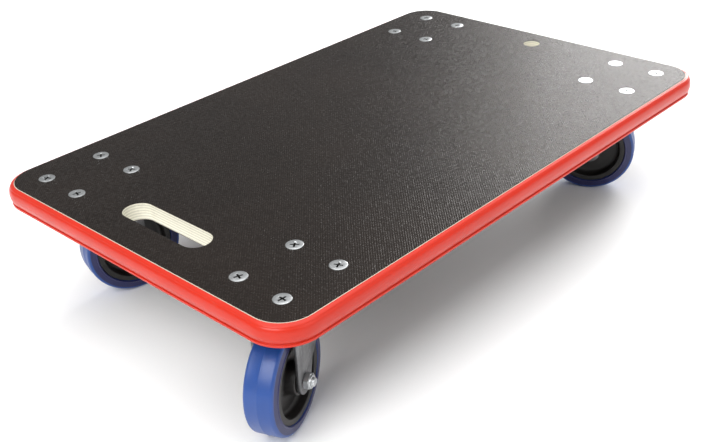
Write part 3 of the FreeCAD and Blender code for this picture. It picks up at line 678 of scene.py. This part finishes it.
def strip_profile(sizes):
    """The strip's section: (outwards from the board's side, up from the strip's own bottom)."""
    low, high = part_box("edge_strip")
    board_low, board_high = board_box()
    tall = high.z - low.z
    bulge = high.x - board_high.x
    root, lip, notch = 3.2 * MM, 2.2 * MM, 0.9 * MM
    back = 0.1 * MM
    corners = [(back, 0.0), (root + lip / 2, 0.0), (root + lip / 2, lip), (root, lip),
               (root, lip + notch)]
    top, bottom = tall - 1.6 * MM, lip + notch
    steps = 14
    for i in range(1, steps):
        t = i / steps
        out = root + (bulge - root) * math.sin(math.pi * t) ** 0.62
        corners.append((out, bottom + (top - bottom) * t))
    corners += [(root, top), (root - 0.2 * MM, tall - 0.9 * MM),
                (root - 1.0 * MM, tall - 0.35 * MM), (root - 1.6 * MM, tall),
                (0.3 * MM, tall + 0.45 * MM), (-0.5 * MM, tall + 0.8 * MM),
                (-0.65 * MM, tall + 0.7 * MM), (back, tall - 0.05 * MM)]
    middle = (board_low.z + board_high.z) / 2 - low.z
    barb_top, barb_bottom = middle + sizes.barb_height / 2, middle - sizes.barb_height / 2
    corners += [(back, barb_top), (-sizes.barb_depth, barb_top), (-sizes.barb_depth, barb_bottom),
                (back, barb_bottom)]
    return corners


class DOLLY_OT_edge_strip(bpy.types.Operator):
    """Sweep the soft strip round the deck's edge"""

    bl_idname = "dolly.edge_strip"
    bl_label = "Edge Strip"

    def execute(self, context):
        sizes = context.scene.dolly_sizes
        low, high = board_box()
        profile = soften(strip_profile(sizes), sizes.strip_round, 3)
        curve = bpy.data.curves.new("strip_section", "CURVE")
        spline = curve.splines.new("POLY")
        spline.points.add(len(profile) - 1)
        for point, (out, up) in zip(spline.points, profile):
            point.co = (out, -up, 0, 1)
        spline.use_cyclic_u = True
        section = hidden_seed("strip_section", curve)
        tree = Grower(
            "sweep_strip", Length=high.x - low.x, Width=high.y - low.y,
            Corner=sizes.deck_corner, Height=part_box("edge_strip")[0].z, Section=section,
            Finish=finish_named("red_rubber"),
        )
        path = tree.node("CurvePrimitiveQuadrilateral", {},
                         {0: tree.size("Length"), 1: tree.size("Width")})
        path = tree.node("FilletCurve", {"mode": "POLY"}, {0: path, 1: 14, 2: tree.size("Corner")})
        shape = tree.node("ObjectInfo", {}, {0: tree.size("Section")}, out=4)
        strip = tree.node("CurveToMesh", {}, {0: path, 1: shape})
        strip = tree.node("Transform", {}, {0: strip, 1: tree.vector(z=tree.size("Height"))})
        tree.finish(strip)
        piece = tree.grow("edge_strip_soft")
        shade_smooth(piece.data, 38)
        drop(section)
        give(piece, "deck", "red_rubber", "edge_strip")
        return {"FINISHED"}


def cross_outline(span, wing):
    """Corners of a plus sign, anticlockwise."""
    a, b = span / 2, wing / 2
    return [(a, -b), (a, b), (b, b), (b, a), (-b, a), (-b, b), (-a, b), (-a, -b), (-b, -b),
            (-b, -a), (b, -a), (b, -b)]


def screw_mesh(sizes):
    """A sunk-head screw standing on Z = 0 at its head's rim, with a tapered cross recess."""
    shape = bmesh.new()
    steps = 40
    head, shank, face = sizes.screw_radius, sizes.shank_radius, sizes.screw_proud
    rim, point = 0.7 * MM, 0.8 * MM
    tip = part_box("front_left_deck_bolts")[0].z - deck_top()
    rings = [(head - 0.45 * MM, face), (head - 0.12 * MM, 0.16 * MM), (head, -0.1 * MM),
             (head, -rim), (shank, -rim - head + shank), (shank, tip + point),
             (shank - point, tip)]
    loops = []
    for radius, z in rings:
        turns = [2 * math.pi * k / steps for k in range(steps)]
        loops.append([shape.verts.new((radius * math.cos(a), radius * math.sin(a), z))
                      for a in turns])
    for upper, lower in zip(loops, loops[1:]):
        bridge(shape, upper, lower)
    shape.faces.new(loops[-1])
    cross = cross_outline(sizes.recess_span, sizes.recess_wing)
    mouth = [shape.verts.new((x, y, face)) for x, y in cross]
    taper, bottom = 0.62, face - sizes.recess_depth
    floor = [shape.verts.new((taper * v.co.x, taper * v.co.y, bottom)) for v in mouth]
    bridge(shape, floor, mouth)
    shape.faces.new(floor)
    edges = [shape.edges.get((a, b)) for a, b in zip(loops[0], loops[0][1:] + loops[0][:1])]
    edges += [shape.edges.get((a, b)) for a, b in zip(mouth, mouth[1:] + mouth[:1])]
    bmesh.ops.triangle_fill(shape, edges=edges, use_beauty=True)
    return mesh_from(shape, "screw", None, 28)


def hexagon_reach(angle, flats):
    """Distance from a hexagon's middle to its side in a direction."""
    slice_angle = math.radians(60)
    inner = (angle + slice_angle / 2) % slice_angle - slice_angle / 2
    return flats / 2 / math.cos(inner)


def add_hexagon(shape, flats, low, high, bore, steps=72):
    """Adds a hexagon with turned, chamfered faces round the Z axis, with or without a bore."""
    circle = flats / 2 * 0.965
    slope = math.tan(math.radians(28))
    inner = bore or 0.2 * circle
    loops = [[] for _ in range(6)]
    for k in range(steps):
        a = 2 * math.pi * k / steps
        reach = hexagon_reach(a, flats)
        chamfer = (reach - circle) * slope
        rows = ((inner, high), (circle, high), (reach, high - chamfer), (reach, low + chamfer),
                (circle, low), (inner, low))
        for loop, (radius, z) in zip(loops, rows):
            loop.append(shape.verts.new((radius * math.cos(a), radius * math.sin(a), z)))
    for upper, lower in zip(loops, loops[1:]):
        bridge(shape, upper, lower)
    if bore:
        bridge(shape, loops[-1], loops[0])
    else:
        shape.faces.new(loops[0])
        shape.faces.new(loops[-1])


def add_turned(shape, profile, steps=48, closed=True):
    """Adds a profile of (radius, Z) turned about the Z axis."""
    rings = []
    for k in range(steps):
        a = 2 * math.pi * k / steps
        rings.append([shape.verts.new((r * math.cos(a), r * math.sin(a), z)) for r, z in profile])
    spans = len(profile) if closed else len(profile) - 1
    for k in range(steps):
        here, there = rings[k], rings[(k + 1) % steps]
        for i in range(spans):
            j = (i + 1) % len(profile)
            shape.faces.new((here[i], here[j], there[j], there[i]))
    if not closed:
        shape.faces.new([ring[0] for ring in rings])
        shape.faces.new([ring[-1] for ring in rings])


def deck_nut_mesh(sizes):
    """A flanged nut hanging from Z = 0."""
    shape = bmesh.new()
    bore = sizes.shank_radius + sizes.thread_play
    height, sheet, rim = 6.4 * MM, 1.4 * MM, 8.5 * MM
    add_hexagon(shape, sizes.nut_flats, -height, -sheet, bore)
    flange = [(bore, 0.0), (rim, 0.0), (rim, -0.5 * sheet), (6.6 * MM, -1.5 * MM),
              (bore, -1.5 * MM)]
    add_turned(shape, soften(flange, 0.2 * MM, 2))
    return mesh_from(shape, "deck_nut", None, 28)


def scatter_at_bolts(name, seed, level, sizes, finish):
    """Stands a copy of a mesh at each of the deck's bolts, each turned its own way."""
    left, right = swivel_centre("front_left"), swivel_centre("rear_right")
    holder = hidden_seed(f"{name}_seed", seed)
    tree = Grower(
        name, Castors_Along=right.x - left.x, Castors_Across=right.y - left.y,
        Bolts_Along=sizes.bolts_along, Bolts_Across=sizes.bolts_across, Level=level,
        Turn=2 * math.pi, Seed=7, Piece=holder, Finish=finish_named(finish),
    )
    corners, bolts = [
        tree.node("MeshGrid", {}, {0: tree.size(along), 1: tree.size(across), 2: 2, 3: 2})
        for along, across in (("Castors_Along", "Castors_Across"), ("Bolts_Along", "Bolts_Across"))
    ]
    spots = tree.node("InstanceOnPoints", {}, {0: corners, 2: bolts})
    spots = tree.node("RealizeInstances", {}, {0: spots})
    piece = tree.node("ObjectInfo", {}, {0: tree.size("Piece")}, out=4)
    turn = tree.node("FunctionNodeRandomValue", {"data_type": "FLOAT"},
                     {3: tree.size("Turn"), 8: tree.size("Seed")}, out=1)
    copies = tree.node("InstanceOnPoints", {}, {0: spots, 2: piece, 5: tree.vector(z=turn)})
    lift = tree.vector(z=tree.size("Level"))
    copies = tree.node("TranslateInstances", {}, {0: copies, 2: lift, 3: False})
    tree.finish(copies)
    grown = tree.grow(name)
    drop(holder)
    return grown


class DOLLY_OT_deck_screws(bpy.types.Operator):
    """Stand the sunk screws and their flanged nuts in the deck"""

    bl_idname = "dolly.deck_screws"
    bl_label = "Deck Screws"

    def execute(self, context):
        sizes = context.scene.dolly_sizes
        screws = scatter_at_bolts("deck_screws", screw_mesh(sizes), deck_top(), sizes, "screw_zinc_painted_shade")
        give(screws, "deck", "zinc_bolt", *[f"{corner}_deck_bolts" for corner in CORNERS])
        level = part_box("front_left_deck_nuts")[1].z
        nuts = scatter_at_bolts("deck_flange_nuts", deck_nut_mesh(sizes), level, sizes, "zinc_bolt")
        give(nuts, "deck", "zinc_bolt", *[f"{corner}_deck_nuts" for corner in CORNERS])
        return {"FINISHED"}


# ---------------------------------------------------------------- castors

class DOLLY_OT_tyres(bpy.types.Operator):
    """Turn the four blue tyres, with mould line, shoulders and side beads, their flanks in a
    painted-shade blue
    """

    bl_idname = "dolly.tyres"
    bl_label = "Tyres"

    def execute(self, context):
        sizes = context.scene.dolly_sizes
        for corner in CORNERS:
            low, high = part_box(f"{corner}_tyre")
            radius = (high.z - low.z) / 2
            half, tread = sizes.tyre_width / 2, sizes.tread_width / 2
            seat = radius - sizes.tyre_thickness
            line = sizes.parting_line
            face = radius - line
            shoulder = arc_points((tread, face - sizes.shoulder), sizes.shoulder, 90, 8, 9)
            right = [(0.0, radius), (0.5 * MM, radius - 0.25 * line), (0.9 * MM, face)] + shoulder
            flank = [(half - sizes.side_bead - 0.15 * MM, seat + 3.4 * MM),
                     (half - sizes.side_bead + 0.1 * MM, seat + 2.5 * MM)]
            bead = arc_points((half - 0.9 * MM, seat + 1.1 * MM), 0.9 * MM, 80, -60, 6)
            right += flank + bead + [(half - 0.9 * MM, seat + 0.05 * MM)]
            profile = right + [(-y, r) for y, r in reversed(right[1:])]
            mesh = turned(profile, 144, wheel_axes(corner), f"{corner}_tyre_rubber", 40)
            piece = add_object(f"{corner}_tyre_rubber", mesh, "blue_tyre", "blue_flank_painted_shade")
            # Faces on a flank, below the shoulder, take the painted-shade blue.
            axes = wheel_axes(corner).inverted()
            for side in mesh.polygons:
                spot = axes @ side.center
                if math.hypot(spot.x, spot.z) < radius - sizes.shoulder and abs(spot.y) > tread:
                    side.material_index = 1
            give(piece, f"wheel_{corner}", "blue_tyre", f"{corner}_tyre")
        return {"FINISHED"}


class DOLLY_OT_wheel_cores(bpy.types.Operator):
    """Turn the four moulded cores: rim, dished web and hub"""

    bl_idname = "dolly.wheel_cores"
    bl_label = "Wheel Cores"

    def execute(self, context):
        sizes = context.scene.dolly_sizes
        for corner in CORNERS:
            low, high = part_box(f"{corner}_tyre")
            seat = (high.z - low.z) / 2 - sizes.tyre_thickness
            rim, web = sizes.tyre_width / 2 - 1.0 * MM, sizes.web / 2
            hub, inner, bore = sizes.hub_width / 2, seat - sizes.rim, sizes.hub_bore
            right = [
                (hub, bore, 0.4 * MM), (hub, sizes.hub_radius, 1.0 * MM),
                (web, sizes.hub_radius + 1.4 * MM, 4.5 * MM), (web, inner - 0.8 * MM, 4.5 * MM),
                (rim - 0.2 * MM, inner + 0.3 * MM, 1.0 * MM), (rim, seat - 0.9 * MM, 0.5 * MM),
                (rim - 0.5 * MM, seat - 0.02 * MM, 0.3 * MM),
            ]
            profile = soften(right + [(-y, r, soft) for y, r, soft in reversed(right)], 0.5 * MM, 7)
            mesh = turned(profile, 120, wheel_axes(corner), f"{corner}_core_moulding", 45)
            piece = add_object(f"{corner}_core_moulding", mesh, "black_nylon")
            give(piece, f"wheel_{corner}", "black_nylon", f"{corner}_wheel_core")
            paint(f"{corner}_roller_bearing", "cage_and_rollers")
        return {"FINISHED"}


class DOLLY_OT_forks(bpy.types.Operator):
    """Round over the pressed forks, with bright worn edges"""

    bl_idname = "dolly.forks"
    bl_label = "Forks"

    def execute(self, context):
        sizes = context.scene.dolly_sizes
        for corner in CORNERS:
            piece = softened(f"{corner}_fork", f"{corner}_pressed_fork", "zinc_fork",
                             sizes.edge_break, 40, "cut_edge")
            give(piece, f"swivel_{corner}", "zinc_fork", f"{corner}_fork")
        return {"FINISHED"}


def axle_nut_mesh(sizes, fork_face, matrix):
    """The lock nut with its collar, standing on the +Y side of the fork."""
    shape = bmesh.new()
    bore = sizes.shank_radius + sizes.thread_play
    height, hexagon, ring = 6.4 * MM, 5.0 * MM, 6.1 * MM
    add_hexagon(shape, sizes.nut_flats, 0.0, hexagon, bore)
    collar = [(bore, hexagon - 0.1 * MM), (ring, hexagon - 0.1 * MM), (ring, 6.0 * MM),
              (5.3 * MM, height), (bore, height)]
    add_turned(shape, soften(collar, 0.25 * MM, 2))
    stand = Matrix.Translation((0, fork_face, 0)) @ Matrix.Rotation(math.radians(-90), 4, "X")
    return mesh_from(shape, "axle_nut", matrix @ stand, 28)


def axle_bolt_mesh(sizes, fork_face, end, matrix):
    """The hexagon bolt through the fork: chamfered head, shank and a threaded end."""
    shape = bmesh.new()
    add_hexagon(shape, sizes.nut_flats, -fork_face - 5.3 * MM, -fork_face, 0)
    radius, pitch = sizes.shank_radius, 1.25 * MM
    profile = [(radius - 0.8 * MM, end), (radius, end - 0.7 * MM)]
    z = end - 0.7 * MM
    while z > fork_face:
        groove = radius - 0.6 * MM
        profile += [(radius, z - 0.15 * pitch), (groove, z - 0.5 * pitch), (radius, z - pitch)]
        z -= pitch
    profile.append((radius, -fork_face))
    add_turned(shape, profile, 40, closed=False)
    return mesh_from(shape, "axle_bolt", matrix @ Matrix.Rotation(math.radians(-90), 4, "X"), 28)


class DOLLY_OT_axles(bpy.types.Operator):
    """Fit the axle bolts and their lock nuts"""

    bl_idname = "dolly.axles"
    bl_label = "Axles"

    def execute(self, context):
        sizes = context.scene.dolly_sizes
        for corner in CORNERS:
            body, axes = f"swivel_{corner}", wheel_axes(corner)
            face = sizes.fork_width / 2
            nut = add_object(f"{corner}_lock_nut", axle_nut_mesh(sizes, face, axes), "zinc_bolt")
            give(nut, body, "zinc_bolt", f"{corner}_axle_nut")
            end = face + sizes.axle_end
            bolt = axle_bolt_mesh(sizes, face, end, axes)
            bolt = add_object(f"{corner}_hex_bolt", bolt, "zinc_bolt")
            give(bolt, body, "zinc_bolt", f"{corner}_axle_bolt")
            paint(f"{corner}_axle_sleeve", "steel_tube")
        return {"FINISHED"}


def ball_rows(corner, sizes):
    """Grows both rows of a castor head's balls."""
    low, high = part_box(f"{corner}_swivel_balls")
    centre = swivel_centre(corner)
    tree = Grower(
        f"{corner}_balls", Upper_Ring=sizes.upper_ring, Upper_Ball=sizes.upper_ball,
        Upper_Count=16, Lower_Ring=sizes.lower_ring, Lower_Ball=sizes.lower_ball, Lower_Count=12,
        Upper_Level=high.z - sizes.upper_ball, Lower_Level=low.z + sizes.lower_ball,
        Centre=(centre.x, centre.y, 0.0), Finish=finish_named("bearing_steel"),
    )
    rows = []
    for row in ("Upper", "Lower"):
        ring = tree.node("MeshCircle", {},
                         {0: tree.size(f"{row}_Count"), 1: tree.size(f"{row}_Ring")})
        ball = tree.node("MeshUVSphere", {}, {0: 16, 1: 8, 2: tree.size(f"{row}_Ball")})
        balls = tree.node("InstanceOnPoints", {}, {0: ring, 2: ball})
        lift = tree.vector(z=tree.size(f"{row}_Level"))
        rows.append(tree.node("TranslateInstances", {}, {0: balls, 2: lift, 3: False}))
    both = tree.node("JoinGeometry", {}, {0: rows[0]})
    tree.tree.links.new(rows[1], both.node.inputs[0])
    placed = tree.node("Transform", {}, {0: both, 1: tree.size("Centre")})
    tree.finish(placed)
    piece = tree.grow(f"{corner}_ball_rows")
    shade_smooth(piece.data, 60)
    return piece


class DOLLY_OT_castor_heads(bpy.types.Operator):
    """Finish the castor heads: plates, kingpins, race cups and balls"""

    bl_idname = "dolly.castor_heads"
    bl_label = "Castor Heads"

    def execute(self, context):
        sizes = context.scene.dolly_sizes
        for corner in CORNERS:
            plate = softened(f"{corner}_mounting_plate", f"{corner}_pressed_plate", "zinc_plate",
                             0.3 * MM, 40, "cut_edge")
            give(plate, "deck", "zinc_plate", f"{corner}_mounting_plate")
            paint(f"{corner}_kingpin", "zinc_bolt")
            paint(f"{corner}_race_cup", "zinc_plate")
            give(ball_rows(corner, sizes), f"swivel_{corner}", "bearing_steel",
                 f"{corner}_swivel_balls")
        return {"FINISHED"}


# ---------------------------------------------------------------- stage

def soft_light(name, place, aim, size, power, tint=(1, 1, 1)):
    lamp = bpy.data.lights.new(name, "AREA")
    lamp.shape = "RECTANGLE"
    lamp.size, lamp.size_y = size
    lamp.energy = power
    lamp.color = tint
    thing = bpy.data.objects.new(name, lamp)
    bpy.context.scene.collection.objects.link(thing)
    thing.location = place
    thing.rotation_euler = (Vector(aim) - Vector(place)).to_track_quat("-Z", "Y").to_euler()
    return thing


class DOLLY_OT_stage(bpy.types.Operator):
    """Lay the pale floor and set the soft lights and the camera"""

    bl_idname = "dolly.stage"
    bl_label = "Stage"

    def execute(self, context):
        scene = context.scene
        view = scene.dolly_view
        finish = Finish("studio_floor")
        cloud = finish.noise(1.3, 2.0)
        finish.set(Base_Color=finish.blend(cloud * 0.5, (0.94, 0.94, 0.94), (0.92, 0.92, 0.92)),
                   Roughness=0.9)
        finish.set(Specular_IOR_Level=0.1)
        FINISHES["studio_floor"] = finish
        shape = bmesh.new()
        bmesh.ops.create_grid(shape, x_segments=2, y_segments=2, size=30)
        floor = add_object("studio_floor", mesh_from(shape, "studio_floor"), "studio_floor")
        world = bpy.data.worlds.new("studio")
        scene.world = world
        world.use_nodes = True
        world.node_tree.nodes["Background"].inputs[0].default_value = (1, 1, 1, 1)
        world.node_tree.nodes["Background"].inputs[1].default_value = view.surround
        aim = (0, 0, 0.1)
        soft_light("key_light", (-1.9, -0.4, 1.7), aim, (1.5, 1.5), view.key_power)
        soft_light("back_light", (1.75, 0.40, 0.84), (0.15, -0.1, 0.136), (1.0, 0.9),
                   view.back_power)
        soft_light("top_light", (0, 0, 2.6), aim, (3.2, 3.2), view.top_power)
        soft_light("side_light", (0.2, -2.4, 1.2), aim, (2.0, 1.2), view.side_power)
        scene.view_settings.view_transform = "Standard"
        camera = bpy.data.cameras.new("camera")
        camera.sensor_width = 36
        camera.lens = view.lens
        camera.clip_start, camera.clip_end = 0.01, 100
        thing = bpy.data.objects.new("camera", camera)
        scene.collection.objects.link(thing)
        forward = Vector((math.sin(view.heading) * math.cos(view.tilt),
                          math.cos(view.heading) * math.cos(view.tilt), -math.sin(view.tilt)))
        right = forward.cross(Vector((0, 0, 1))).normalized()
        up = right.cross(forward)
        turn = Matrix((right, up, -forward)).transposed() @ Matrix.Rotation(view.roll, 3, "Z")
        thing.matrix_world = Matrix.Translation(Vector(view.place)) @ turn.to_4x4()
        scene.camera = thing
        return {"FINISHED"}


class DOLLY_PT_panel(bpy.types.Panel):
    """Sidebar panel with the dolly's sizes, colours and building steps"""

    bl_idname = "DOLLY_PT_panel"
    bl_label = "Transport Dolly"
    bl_space_type = "VIEW_3D"
    bl_region_type = "UI"
    bl_category = "Dolly"

    def draw(self, context):
        scene = context.scene
        for group in (scene.dolly_sizes, scene.dolly_colours, scene.dolly_view):
            box = self.layout.box()
            for name in group.__annotations__:
                box.prop(group, name)
        for step in STEPS:
            self.layout.operator(step.bl_idname)


STEPS = (DOLLY_OT_finishes, DOLLY_OT_deck, DOLLY_OT_edge_strip, DOLLY_OT_deck_screws,
         DOLLY_OT_tyres, DOLLY_OT_wheel_cores, DOLLY_OT_forks, DOLLY_OT_axles,
         DOLLY_OT_castor_heads, DOLLY_OT_stage)
GROUPS = {"dolly_colours": DollyColours, "dolly_sizes": DollySizes, "dolly_view": DollyView}


def register():
    for kind in (*GROUPS.values(), *STEPS, DOLLY_PT_panel):
        bpy.utils.register_class(kind)
    for name, kind in GROUPS.items():
        setattr(bpy.types.Scene, name, bpy.props.PointerProperty(type=kind))


def unregister():
    for name in GROUPS:
        delattr(bpy.types.Scene, name)
    for kind in (DOLLY_PT_panel, *reversed(STEPS), *GROUPS.values()):
        bpy.utils.unregister_class(kind)


def main():
    for thing in [o for o in bpy.data.objects if o.type in ("LIGHT", "CAMERA")]:
        bpy.data.objects.remove(thing)
    register()
    bpy.ops.dolly.finishes()
    bpy.ops.dolly.deck()
    bpy.ops.dolly.edge_strip()
    bpy.ops.dolly.deck_screws()
    bpy.ops.dolly.tyres()
    bpy.ops.dolly.wheel_cores()
    bpy.ops.dolly.forks()
    bpy.ops.dolly.axles()
    bpy.ops.dolly.castor_heads()
    bpy.ops.dolly.stage()


if __name__ == "__main__":
    main()
